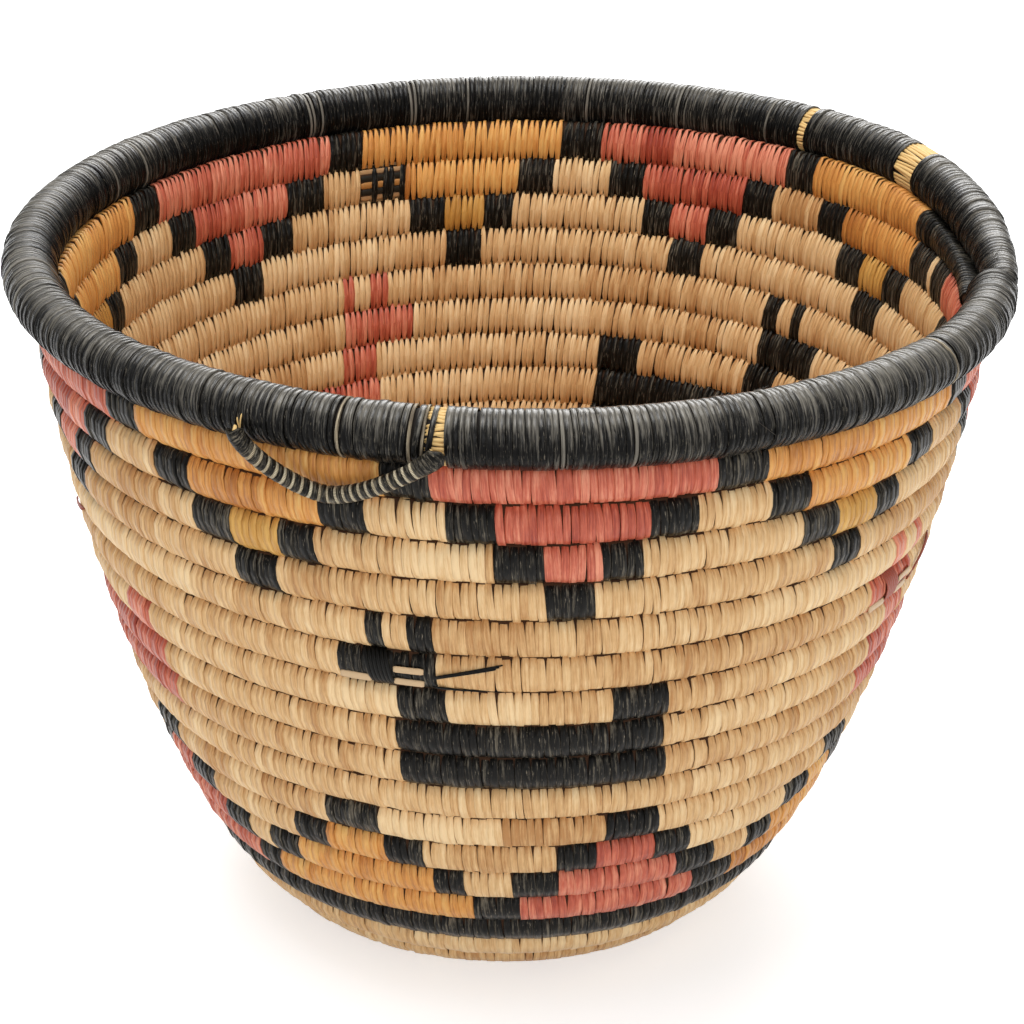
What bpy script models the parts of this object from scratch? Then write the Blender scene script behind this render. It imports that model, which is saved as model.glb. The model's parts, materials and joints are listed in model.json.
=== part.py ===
"""Coiled basket with a thick bound rim and a small hanging loop.

The basket is one long bundle of grass, wound in a spiral from the centre of the base to the top of the wall
and stitched round by round with leaf splints. Lengths are in metres, +Z is up and the base stands on Z = 0.
Angles around the basket start at -Y, the side of the hanging loop, and grow towards -X, as the coil climbs.
"""

from bisect import bisect_right
from math import atan2, ceil, cos, floor, pi, radians, sin, sqrt

import bmesh
import bpy
from mathutils import Matrix, Vector
from mathutils.geometry import interpolate_bezier

# Coil
coil_pitch = 0.0136             # from one round to the next, along the wall
coil_thickness = 0.0122         # across the wall
round_gap = 0.00036             # between neighbouring rounds
bundle_clearance = 0.0003       # between the grass and the stitching around it
stitch_thickness = 0.0011       # splint on the flats of a round
smallest_start_radius = 0.0105  # tightest turn that the bundle makes at the centre

# Profile of the coil's centre line, from the edge of the flat base to the top of the wall
base_flat_radius = 0.064
heel_reach = 0.045              # how far the base's direction carries on into the heel
wall_reach = 0.075              # how far the top's direction carries down the wall
wall_top_radius = 0.1525
wall_top_height = 0.2272
wall_top_lean = radians(6.8)    # outward lean of the wall under the rim
base_shift = 0.0027             # the hand-made base sits this far towards -X

# Rim
coil_end_angle = radians(280)   # where the last round turns into the rim
coil_end_reach = 0.082          # length over which the last round sinks under the rim's tail
rim_overhang = 0.0042           # rim's centre line, out of the wall's centre line
rim_start_thickness = 0.0152
rim_front_thickness = 0.0166
rim_back_thickness = 0.0156
rim_tail_thickness = 0.0084
rim_binding_thickness = 0.0012
rim_seat_gap = 0.0004           # between the rim and the round that carries it
joint_gap = 0.0003              # between lengths of stitching that meet end to end
loop_slot_angle = radians(6.8)  # bare slot in the binding beside the loop's right end
loop_slot_width = 0.0036
bare_patch_angle = radians(246)
bare_patch_width = 0.013        # where wraps are missing and the grass shows

# Hanging loop
loop_left_angle = radians(27.3)
loop_drop = 0.0202
loop_bow = 0.0019               # how far it bows out on its way around the rim
loop_thickness = 0.0052
loop_core_thickness = 0.0034
loop_end_length = 0.0026        # unwrapped straw at each end
loop_seat_gap = 0.0003

# Shape shares and counts
coil_end_height_share = 0.57    # share of its height that the last round keeps at its end
rim_full_share = 0.09           # share of the rim's turn that it takes to thicken
rim_front_share = 0.40          # share where it starts to thin towards the back
rim_back_share = 0.84           # share where the tail starts
loop_skew_share = 0.77          # moves the loop's lowest point towards its left end
loop_sag_power = 1.6            # 2 is a parabola, less is more pointed
steps_per_round = 22
coil_sides = 8
bore_sides = 4
rim_sides = 8
loop_sides = 8
loop_steps = 18
profile_steps = 240
least_step_share = 0.2          # rays nearer to a stop than this share of a step are left out
half_step = 0.5                 # polygons stand on a flat, half a step round from a corner

splint_colours = {
    "natural_splint": (0.80, 0.62, 0.40),
    "black_splint": (0.035, 0.033, 0.034),
    "red_splint": (0.62, 0.17, 0.11),
    "ochre_splint": (0.66, 0.36, 0.11),
}
grass_colour = (0.72, 0.53, 0.28)
splint_roughness = 0.55
black_roughness = 0.38
grass_roughness = 0.8


def clear_scene():
    for item in list(bpy.data.objects):
        bpy.data.objects.remove(item, do_unlink=True)


def plain_material(name, colour, roughness):
    material = bpy.data.materials.new(name)
    material.use_nodes = True
    shader = material.node_tree.nodes["Principled BSDF"]
    shader.inputs["Base Color"].default_value = (*colour, 1.0)
    shader.inputs["Roughness"].default_value = roughness
    shader.inputs["Metallic"].default_value = 0.0
    return material


class Profile:
    """Centre line of the wall in a vertical plane, measured by its length from the edge of the flat base."""

    def __init__(self):
        level = coil_thickness / 2
        start = Vector((base_flat_radius, level))
        end = Vector((wall_top_radius, wall_top_height))
        top_direction = Vector((sin(wall_top_lean), cos(wall_top_lean)))
        start_handle = start + Vector((heel_reach, 0))
        end_handle = end - wall_reach * top_direction
        self.points = interpolate_bezier(start, start_handle, end_handle, end, profile_steps)
        self.lengths = [0.0]
        for low, high in zip(self.points, self.points[1:]):
            self.lengths.append(self.lengths[-1] + (high - low).length)
        self.length = self.lengths[-1]
        self.tilts = [0.0]
        for low, high in zip(self.points, self.points[2:]):
            self.tilts.append(atan2(high.y - low.y, high.x - low.x))
        self.tilts.append(pi / 2 - wall_top_lean)

    def at(self, length):
        """Radius, height and tilt of the centre line: tilt 0 lies flat, a quarter turn stands upright."""
        if length <= 0:
            return self.points[0].x + length, self.points[0].y, 0.0
        if length >= self.length:
            over = length - self.length
            tilt = self.tilts[-1]
            return self.points[-1].x + over * cos(tilt), self.points[-1].y + over * sin(tilt), tilt
        after = bisect_right(self.lengths, length)
        low = self.lengths[after - 1]
        share = (length - low) / (self.lengths[after] - low)
        point = self.points[after - 1].lerp(self.points[after], share)
        tilt = self.tilts[after - 1] + share * (self.tilts[after] - self.tilts[after - 1])
        return point.x, point.y, tilt


profile = Profile()
round_count = floor((profile.length + base_flat_radius - smallest_start_radius) / coil_pitch)
flat_rounds = floor(round_count - profile.length / coil_pitch)


def wall_point(turns, along=0.0, out=0.0):
    """Point near the coil's centre line after a number of turns, moved up the profile and out of the wall."""
    length = profile.length - (round_count - turns) * coil_pitch + along
    radius, height, tilt = profile.at(length)
    radius += out * sin(tilt)
    height -= out * cos(tilt)
    angle = coil_end_angle + 2 * pi * (turns - round_count)
    shift = -base_shift * (1 - height / wall_top_height)
    return Vector((-radius * sin(angle) + shift, -radius * cos(angle), height))


def turns_at(angle):
    """Turns of the coil at an angle on the round that the rim lies on."""
    return round_count - 1 + ((angle - coil_end_angle) / (2 * pi)) % 1.0


def turns_for(width, turns):
    """Share of a turn that spans a width at the wall."""
    radius = profile.at(profile.length - (round_count - turns) * coil_pitch)[0]
    return width / (2 * pi * radius)


def polygon(width, height, sides, offset=half_step):
    """Corners of a polygon whose flats are a width and a height apart."""
    reach = 1 / cos(pi / sides) if offset else 1.0
    angles = [2 * pi * (index + offset) / sides for index in range(sides)]
    return [(reach * width / 2 * cos(angle), reach * height / 2 * sin(angle)) for angle in angles]


def add_tube(mesh, sections):
    """Skin between successive closed rings of corners; returns the first and the last ring."""
    rings = [[mesh.verts.new(point) for point in points] for points in sections]
    for ring, after in zip(rings, rings[1:]):
        for index in range(len(ring)):
            mesh.faces.new((ring[index - 1], ring[index], after[index], after[index - 1]))
    return rings[0], rings[-1]


def close_end(mesh, outer, bore):
    """Ring of faces around a bore that has as many corners as the outside, or half as many."""
    ratio = len(outer) // len(bore)
    for index, corner in enumerate(bore):
        low = outer[ratio * index]
        high = outer[(ratio * index + 1) % len(outer)]
        mesh.faces.new((corner, low, high, bore[(index + 1) % len(bore)]))
        if ratio > 1:
            mesh.faces.new((corner, outer[ratio * index - 1], low))


def finish_piece(name, mesh, material, smooth_angle=radians(50)):
    bmesh.ops.recalc_face_normals(mesh, faces=mesh.faces)
    data = bpy.data.meshes.new(name)
    mesh.to_mesh(data)
    mesh.free()
    data.shade_smooth()
    data.set_sharp_from_angle(angle=smooth_angle)
    data.materials.append(material)
    piece = bpy.data.objects.new(name, data)
    bpy.context.scene.collection.objects.link(piece)
    return piece


def solid_tube(name, sections, material):
    mesh = bmesh.new()
    for ring in add_tube(mesh, sections):
        mesh.faces.new(ring)
    return finish_piece(name, mesh, material)


def sleeve(name, outer_sections, bore_sections, material):
    """Tube with a bore right through it, closed by a ring of faces at each end."""
    mesh = bmesh.new()
    outer_ends = add_tube(mesh, outer_sections)
    bore_ends = add_tube(mesh, bore_sections)
    for outer, bore in zip(outer_ends, bore_ends):
        close_end(mesh, outer, bore)
    return finish_piece(name, mesh, material)


def stations(*stops):
    """Turns from the first stop to the last, with the same rays around the basket for every round."""
    steps = list(stops)
    for index in range(ceil(stops[0] * steps_per_round), ceil(stops[-1] * steps_per_round)):
        turns = index / steps_per_round
        if min(abs(turns - stop) for stop in stops) > least_step_share / steps_per_round:
            steps.append(turns)
    return sorted(steps)


# Foundation and stitching of the rounds

bore_width = coil_thickness - 2 * stitch_thickness
bore_height = coil_pitch - round_gap - 2 * stitch_thickness
bundle_width = bore_width - 2 * bundle_clearance
bundle_height = bore_height - 2 * bundle_clearance


def pressed(turns, along):
    """Height on the coil's section, pressed towards its lower edge where the last round sinks."""
    share = max(0.0, 1 - (round_count - turns) / turns_for(coil_end_reach, round_count))
    kept = 1 - (1 - coil_end_height_share) * share * share * (3 - 2 * share)
    return (along + coil_pitch / 2) * kept - coil_pitch / 2


def coil_sections(steps, corners):
    return [[wall_point(turns, pressed(turns, along), out) for out, along in corners] for turns in steps]


def make_foundation(material):
    corners = polygon(bundle_width, bundle_height, bore_sides, offset=0)
    sections = coil_sections(stations(turns_for(joint_gap, 0), round_count), corners)
    least = min(
        (wall_point(turns + 1, -bundle_height / 2) - wall_point(turns, bundle_height / 2)).length
        for turns in stations(0, round_count - 1)
    )
    print(f"foundation coil: {round_count} loops, least gap to itself {least * 1000:.2f} mm")
    return solid_tube("foundation_coil", sections, material)


def make_round(number, material):
    outer = polygon(coil_thickness, coil_pitch - round_gap, coil_sides)
    bore = polygon(bore_width, bore_height, bore_sides, offset=0)
    end_gap = turns_for(joint_gap, number - half_step) / 2
    steps = stations(number - 1 + end_gap, number - end_gap)
    name = f"stitching_round_{number:02d}"
    return sleeve(name, coil_sections(steps, outer), coil_sections(steps, bore), material)


def make_start_knot(material):
    """Tight first loop: a thick comma that fills the middle of the spiral, stepped where the coil starts."""
    seat = -coil_pitch / 2 - round_gap / 2
    outline = [wall_point(turns, seat, coil_thickness / 2) for turns in stations(0, 1)]
    step_corner = outline[0].lerp(outline[-1], joint_gap / coil_pitch)
    mesh = bmesh.new()
    floor_face = mesh.faces.new([mesh.verts.new(point) for point in [step_corner] + outline[1:]])
    raised = bmesh.ops.extrude_face_region(mesh, geom=[floor_face])["geom"]
    corners = [item for item in raised if isinstance(item, bmesh.types.BMVert)]
    bmesh.ops.translate(mesh, verts=corners, vec=Vector((0, 0, coil_thickness)))
    return finish_piece("start_knot", mesh, material, radians(30))


# Rim

def rim_thickness(share):
    """The rim thickens from the last round, thins a little towards the back and ends in a tail over that round."""
    stops = (
        (0.0, rim_start_thickness),
        (rim_full_share, rim_front_thickness),
        (rim_front_share, rim_front_thickness),
        (rim_back_share, rim_back_thickness),
        (1.0, rim_tail_thickness),
    )
    for (low, thin), (high, thick) in zip(stops, stops[1:]):
        if share <= high:
            return thin + (thick - thin) * (share - low) / (high - low)
    return rim_tail_thickness


def rim_size(turns):
    """Thickness of the rim, and how far its centre lies up the wall from the centre of the round under it."""
    thickness = rim_thickness(turns - (round_count - 1))
    return thickness, pressed(turns, (coil_pitch - round_gap) / 2) + rim_seat_gap + thickness / 2


def rim_section(turns, inset):
    thickness, seat = rim_size(turns)
    width = thickness - 2 * inset
    corners = polygon(width, width, rim_sides)
    return [wall_point(turns, seat + along, rim_overhang + out) for out, along in corners]


def make_rim(straw, binding):
    """One core, and three lengths of binding with the bare slot and the bare patch between them."""
    slot = turns_at(loop_slot_angle)
    slot_half = turns_for(loop_slot_width, slot) / 2
    patch = turns_at(bare_patch_angle)
    patch_half = turns_for(bare_patch_width, patch) / 2
    lengths = {
        "rim_binding_right": (round_count - 1 + turns_for(joint_gap, round_count), slot - slot_half),
        "rim_binding_left": (slot + slot_half, patch - patch_half),
        "rim_binding_tail": (patch + patch_half, round_count - turns_for(joint_gap, round_count)),
    }
    stops = [end for ends in lengths.values() for end in ends] + [turns_at(loop_left_angle)]
    steps = stations(*sorted(stops))
    inset = rim_binding_thickness + bundle_clearance
    solid_tube("rim_bundle", [rim_section(turns, inset) for turns in steps], straw)
    for name, (first, last) in lengths.items():
        wrapped = [turns for turns in steps if first <= turns <= last]
        outer = [rim_section(turns, 0.0) for turns in wrapped]
        bore = [rim_section(turns, rim_binding_thickness) for turns in wrapped]
        sleeve(name, outer, bore, binding)


# Hanging loop

def loop_anchor(angle):
    """End of the loop on its hinge line, clear of the rim's outermost face by the seat gap."""
    turns = turns_at(angle)
    thickness, seat = rim_size(turns)
    reach = thickness / 2 + loop_core_thickness / 2 / cos(pi / loop_sides) + loop_seat_gap
    return turns, seat, rim_overhang + reach


def loop_path():
    """The loop hangs from both ends, bows around the rim and lies against the wall."""
    left, left_along, left_out = loop_anchor(loop_left_angle)
    right, right_along, right_out = loop_anchor(loop_slot_angle)
    resting_out = coil_thickness / 2 + loop_thickness / 2 + loop_seat_gap
    points = []
    for index in range(loop_steps + 1):
        share = (1 - cos(pi * index / loop_steps)) / 2
        sag = 1 - abs(2 * share ** loop_skew_share - 1) ** loop_sag_power
        turns = left + (right - left) * share
        along = left_along + (right_along - left_along) * share - loop_drop * sag
        seat_out = left_out + (right_out - left_out) * share
        out = seat_out + (resting_out - seat_out) * sag + 4 * loop_bow * (sqrt(sag) - sag)
        points.append(wall_point(turns, along, out))
    return points


def trim_path(points, cut):
    """The path without a length at each end."""
    for _ in range(2):
        points = points[::-1]
        left = cut
        while (points[-1] - points[-2]).length <= left:
            left -= (points[-1] - points[-2]).length
            points = points[:-1]
        direction = (points[-2] - points[-1]).normalized()
        points = points[:-1] + [points[-1] + left * direction]
    return points


def ring_sections(points, radius, sides):
    """Upright rings around a path, square to it at each point."""
    sections = []
    for index, centre in enumerate(points):
        before = points[max(index - 1, 0)]
        after = points[min(index + 1, len(points) - 1)]
        direction = (after - before).normalized()
        outward = Vector((centre.x, centre.y, 0)).normalized()
        side = direction.cross(outward).normalized()
        front = side.cross(direction)
        corners = polygon(2 * radius, 2 * radius, sides)
        sections.append([centre + x * side + y * front for x, y in corners])
    return sections


def make_hanging_loop(straw, binding):
    path = loop_path()
    core = solid_tube("loop_bundle", ring_sections(path, loop_core_thickness / 2, loop_sides), straw)
    wrapped = trim_path(path, loop_end_length)
    bore_radius = loop_core_thickness / 2 + bundle_clearance
    outer = ring_sections(wrapped, loop_thickness / 2, loop_sides)
    bore = ring_sections(wrapped, bore_radius, loop_sides)
    wrap = sleeve("loop_binding", outer, bore, binding)
    hinge = bpy.data.objects.new("loop_hinge", None)
    bpy.context.scene.collection.objects.link(hinge)
    hinge_line = (path[0] - path[-1]).normalized()
    middle = (path[0] + path[-1]) / 2
    hinge.matrix_world = Matrix.Translation(middle) @ hinge_line.to_track_quat("X", "Z").to_matrix().to_4x4()
    for piece in (core, wrap):
        piece.data.transform(hinge.matrix_world.inverted())
        piece.parent = hinge
    print("loop hinge: point", [round(value, 5) for value in middle], "axis",
          [round(value, 5) for value in hinge_line])


def round_colour(number):
    """The leading colour of each round, counted down from the rim."""
    from_top = round_count + 1 - number
    leading = {1: "ochre_splint", 2: "red_splint", 9: "black_splint", 14: "ochre_splint", 15: "black_splint"}
    return leading.get(from_top, "natural_splint")


def main():
    clear_scene()
    straw = plain_material("grass_bundle", grass_colour, grass_roughness)
    splints = {}
    for name, colour in splint_colours.items():
        roughness = black_roughness if name == "black_splint" else splint_roughness
        splints[name] = plain_material(name, colour, roughness)
    make_start_knot(splints["natural_splint"])
    make_foundation(straw)
    for number in range(1, round_count + 1):
        make_round(number, splints[round_colour(number)])
    make_rim(straw, splints["black_splint"])
    make_hanging_loop(straw, splints["black_splint"])
    print(f"{round_count} rounds, {flat_rounds} of them whole on the flat base")


main()
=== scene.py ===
import json
import math

import bmesh
import bpy
import numpy as np
from mathutils import Matrix, Vector

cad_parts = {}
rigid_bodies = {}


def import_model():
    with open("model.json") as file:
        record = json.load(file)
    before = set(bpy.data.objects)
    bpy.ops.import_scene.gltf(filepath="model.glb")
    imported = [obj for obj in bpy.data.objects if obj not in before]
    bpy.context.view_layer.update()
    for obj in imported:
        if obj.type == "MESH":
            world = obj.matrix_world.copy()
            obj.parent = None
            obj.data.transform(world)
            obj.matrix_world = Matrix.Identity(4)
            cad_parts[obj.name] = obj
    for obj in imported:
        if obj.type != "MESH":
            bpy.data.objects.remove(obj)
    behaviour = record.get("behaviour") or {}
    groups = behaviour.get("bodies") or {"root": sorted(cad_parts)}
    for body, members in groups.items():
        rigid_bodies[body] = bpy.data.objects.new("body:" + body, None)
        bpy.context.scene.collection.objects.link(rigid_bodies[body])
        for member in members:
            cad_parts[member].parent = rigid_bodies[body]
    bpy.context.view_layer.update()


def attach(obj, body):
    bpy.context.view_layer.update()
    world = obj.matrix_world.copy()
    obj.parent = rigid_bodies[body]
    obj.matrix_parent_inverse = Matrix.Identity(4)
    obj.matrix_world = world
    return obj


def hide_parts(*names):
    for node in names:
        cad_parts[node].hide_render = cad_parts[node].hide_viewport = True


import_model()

mm = 0.001
fullTurn = 2.0 * math.pi

# The wall that carries everything, in metres. Its sizes are the solids' own, except where the last round
# sinks: there the scene follows the photo, up to 2.8 mm from the solids.
# Angles start at -Y, the side of the hanging loop, and grow towards -X, as the coil climbs.
wall = {
    "pitch": 13.6 * mm,
    "thickness": 12.2 * mm,
    "roundGap": 0.36 * mm,
    "smallestStartRadius": 10.5 * mm, "flatRadius": 64.0 * mm,
    "heelReach": 45.0 * mm, "wallReach": 75.0 * mm,
    "topRadius": 152.5 * mm, "topHeight": 227.2 * mm, "topLean": math.radians(6.8),
    "baseShift": 2.7 * mm,
    "endAngle": 280.0,
    "profileSteps": 600,
    "taperTurn": 0.12, "taperShare": 0.55,
}
wallHalf = wall["thickness"] / 2
pitchHalf = wall["pitch"] / 2


def shares(count):
    return np.linspace(0.0, 1.0, count)


def between(start, end, share):
    return start + (end - start) * share


def wallProfile():
    lean = np.array([math.sin(wall["topLean"]), math.cos(wall["topLean"])])
    start = np.array([wall["flatRadius"], wallHalf])
    end = np.array([wall["topRadius"], wall["topHeight"]])
    handles = start + [wall["heelReach"], 0.0], end - wall["wallReach"] * lean
    share = shares(wall["profileSteps"])[:, None]
    back = 1.0 - share
    points = back ** 3 * start + 3 * back ** 2 * share * handles[0]
    points += 3 * back * share ** 2 * handles[1] + share ** 3 * end
    steps = np.diff(points, axis=0)
    lengths = np.concatenate([[0.0], np.cumsum(np.hypot(steps[:, 0], steps[:, 1]))])
    slope = np.gradient(points, axis=0)
    tilts = np.arctan2(slope[:, 1], slope[:, 0])
    tilts[0], tilts[-1] = 0.0, math.pi / 2 - wall["topLean"]
    return points, lengths, tilts


profilePoints, profileLengths, profileTilts = wallProfile()
profileLength = profileLengths[-1]
roundCount = math.floor((profileLength + wall["flatRadius"] - wall["smallestStartRadius"]) / wall["pitch"])


def profileAt(turns, along=0.0):
    length = profileLength - (roundCount - turns) * wall["pitch"] + along
    inside = np.clip(length, 0.0, profileLength)
    radius = np.interp(inside, profileLengths, profilePoints[:, 0])
    height = np.interp(inside, profileLengths, profilePoints[:, 1])
    tilt = np.interp(inside, profileLengths, profileTilts)
    over = length - inside
    return radius + over * np.cos(tilt), height + over * np.sin(tilt), tilt


def wallPoints(turns, along=0.0, out=0.0):
    radius, height, tilt = profileAt(turns, along)
    radius = radius + out * np.sin(tilt)
    height = height - out * np.cos(tilt)
    angle = math.radians(wall["endAngle"]) + fullTurn * (turns - roundCount)
    shift = -wall["baseShift"] * (1.0 - height / wall["topHeight"])
    return np.stack([-radius * np.sin(angle) + shift, -radius * np.cos(angle), height], axis=-1)


def taper(turns):
    share = np.clip(1.0 - (roundCount - turns) / wall["taperTurn"], 0.0, 1.0)
    return wall["taperShare"] * share * share * (3.0 - 2.0 * share)


def outerRadius(turns):
    radius, _, tilt = profileAt(turns)
    return radius + wallHalf * np.sin(tilt)


def coilPoints(turns, along, out):
    return wallPoints(turns, (along + pitchHalf) * (1.0 - taper(turns)) - pitchHalf, out)


def topTurns(degrees):
    return roundCount - 1 + ((degrees - wall["endAngle"]) / 360.0) % 1.0


def turnsFor(width, turns):
    return width / (fullTurn * profileAt(turns)[0])


def clearScene():
    for item in list(bpy.data.objects):
        if item.type in ("LIGHT", "CAMERA"):
            bpy.data.objects.remove(item)


clearScene()


# Materials. Each reads the piece's own UV map: U counts the splints, V runs along a splint.
def linear(colour):
    values = [value / 255.0 for value in colour]
    values = [value / 12.92 if value <= 0.04045 else ((value + 0.055) / 1.055) ** 2.4 for value in values]
    return (*values, 1.0)


class Nodes:
    def __init__(self, owner, shader="Principled BSDF"):
        owner.use_nodes = True
        self.owner = owner
        self.tree = owner.node_tree
        self.shader = self.tree.nodes[shader]

    def add(self, kind, **values):
        node = self.tree.nodes.new(kind)
        for key, value in values.items():
            setattr(node, key, value)
        return node

    def put(self, target, value):
        if isinstance(value, bpy.types.NodeSocket):
            self.tree.links.new(value, target)
        else:
            target.default_value = value

    def shade(self, name, value):
        self.put(self.shader.inputs[name], value)

    def maths(self, operation, first, second=0.0, clamp=False):
        node = self.add("ShaderNodeMath", operation=operation, use_clamp=clamp)
        self.put(node.inputs[0], first)
        self.put(node.inputs[1], second)
        return node.outputs[0]

    def times(self, first, second, clamp=False):
        return self.maths("MULTIPLY", first, second, clamp)

    def raised(self, value, start, gain):
        return self.times(self.maths("SUBTRACT", value, start), gain, clamp=True)

    def mix(self, share, first, second):
        node = self.add("ShaderNodeMix", data_type="RGBA")
        self.put(node.inputs["Factor"], share)
        self.put(node.inputs[6], first)
        self.put(node.inputs[7], second)
        return node.outputs[2]

    def ramp(self, share, grain, look):
        node = self.add("ShaderNodeValToRGB")
        node.color_ramp.elements.new(0.5)
        for element, level in zip(node.color_ramp.elements, ("deep", "middle", "pale")):
            element.position = grain[level + "At"]
            element.color = linear(look[level])
        self.put(node.inputs[0], share)
        return node.outputs[0]

    def noise(self, source, scale, detail, roughness):
        mapping = self.add("ShaderNodeMapping")
        self.put(mapping.inputs["Vector"], source)
        mapping.inputs["Scale"].default_value = scale
        node = self.add("ShaderNodeTexNoise")
        self.put(node.inputs["Vector"], mapping.outputs["Vector"])
        node.inputs["Scale"].default_value = 1.0
        node.inputs["Detail"].default_value = detail
        node.inputs["Roughness"].default_value = roughness
        return node.outputs["Fac"]

    def bump(self, height, strength, distance):
        node = self.add("ShaderNodeBump")
        node.inputs["Strength"].default_value = strength
        node.inputs["Distance"].default_value = distance
        self.put(node.inputs["Height"], height)
        self.shade("Normal", node.outputs["Normal"])


# Each kind of leaf: its colours, and how strong its streaks, dust, painted shade in the creases, painted
# sheen on its tops and woven threads are. Its seam shade is the colour of the painted shade in its seams and
# creases.
plainLeaf = {"roughness": 0.42, "specular": 0.35, "gloss": 0.0, "streak": 0.8, "broad": 0.6, "dust": 0.0,
             "paintedCreaseShade": 0.0, "paintedSheen": 0.0, "weave": 0}
leafLooks = {
    "natural": {
        "pale": (248, 216, 166), "middle": (224, 182, 127), "deep": (186, 134, 80), "paintedSeamShade": (126, 76, 38),
        "roughness": 0.5, "paintedCreaseShade": 0.5,
    },
    "black": {
        "pale": (120, 112, 97), "middle": (23, 21, 18), "deep": (7, 7, 6), "paintedSeamShade": (4, 4, 3),
        "roughness": 0.3, "specular": 0.12, "streak": 1.15, "broad": 0.4, "dust": 0.7, "paintedCreaseShade": 0.4,
    },
    "red": {
        "pale": (238, 156, 124), "middle": (200, 100, 74), "deep": (152, 56, 38), "paintedSeamShade": (88, 30, 20),
        "streak": 0.9, "dust": 0.1, "paintedCreaseShade": 0.4,
    },
    "ochre": {
        "pale": (240, 190, 112), "middle": (222, 154, 78), "deep": (176, 108, 46), "paintedSeamShade": (100, 54, 20),
        "streak": 0.85, "dust": 0.1, "paintedCreaseShade": 0.4,
    },
    "yellow": {
        "pale": (226, 178, 98), "middle": (196, 142, 66), "deep": (158, 104, 42), "paintedSeamShade": (92, 54, 18),
        "roughness": 0.44, "specular": 0.3, "streak": 0.7, "dust": 0.1, "paintedCreaseShade": 0.4,
    },
    # The rim's tops carry a painted sheen: they are lighter where they face up.
    "rim": {
        "pale": (124, 119, 109), "middle": (17, 16, 15), "deep": (6, 6, 6), "paintedSeamShade": (3, 3, 3),
        "roughness": 0.25, "specular": 0.06, "gloss": 0.5, "broad": 0.25, "dust": 0.5, "paintedSheen": 0.3,
    },
    "cream": {
        "pale": (214, 202, 174), "middle": (150, 136, 112), "deep": (70, 60, 48), "paintedSeamShade": (44, 39, 33),
        "roughness": 0.5, "specular": 0.3, "streak": 1.3, "broad": 1.2,
    },
    # The head strips' leaf: a paler copy of the natural leaf, partly the strips' own cream colour and partly
    # painted light that brightens strips facing slightly down, away from the lamps.
    "strip": {
        "pale": (255, 240, 208), "middle": (252, 226, 182), "deep": (220, 180, 130), "paintedSeamShade": (150, 104, 62),
        "specular": 0.4, "paintedCreaseShade": 0.2,
    },
    "woven": {
        "pale": (226, 214, 184), "middle": (190, 174, 144), "deep": (120, 106, 84), "paintedSeamShade": (40, 36, 30),
        "roughness": 0.5, "specular": 0.3, "streak": 1.1, "weave": 36,
    },
}
# A noise is given by its scale, detail and roughness, a raised shade by its start and gain, and a bump by its
# strength and height.
leafGrain = {
    "fibres": ((6.0, 4.0, 1.0), 5.0, 0.7),
    "patches": ((1.3, 7.0, 1.0), 2.0, 0.5),
    "specks": ((13.0, 16.0, 1.0), 3.0, 0.6),
    "streakGain": 2.4, "paintedSheenPower": 2.0,
    "deepAt": 0.05, "middleAt": 0.5, "paleAt": 0.95,
    "dust": (0.62, 9.0), "dustColour": (176, 164, 144),
    "paintedSeamShade": (0.4, 10.0), "seamPatches": 1.5, "seamShade": 0.7,
    "paintedCreaseShade": (0.5, 1.0),
    "threadPatches": 1.7,
    "bump": (0.7, 0.2 * mm),
}


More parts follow.
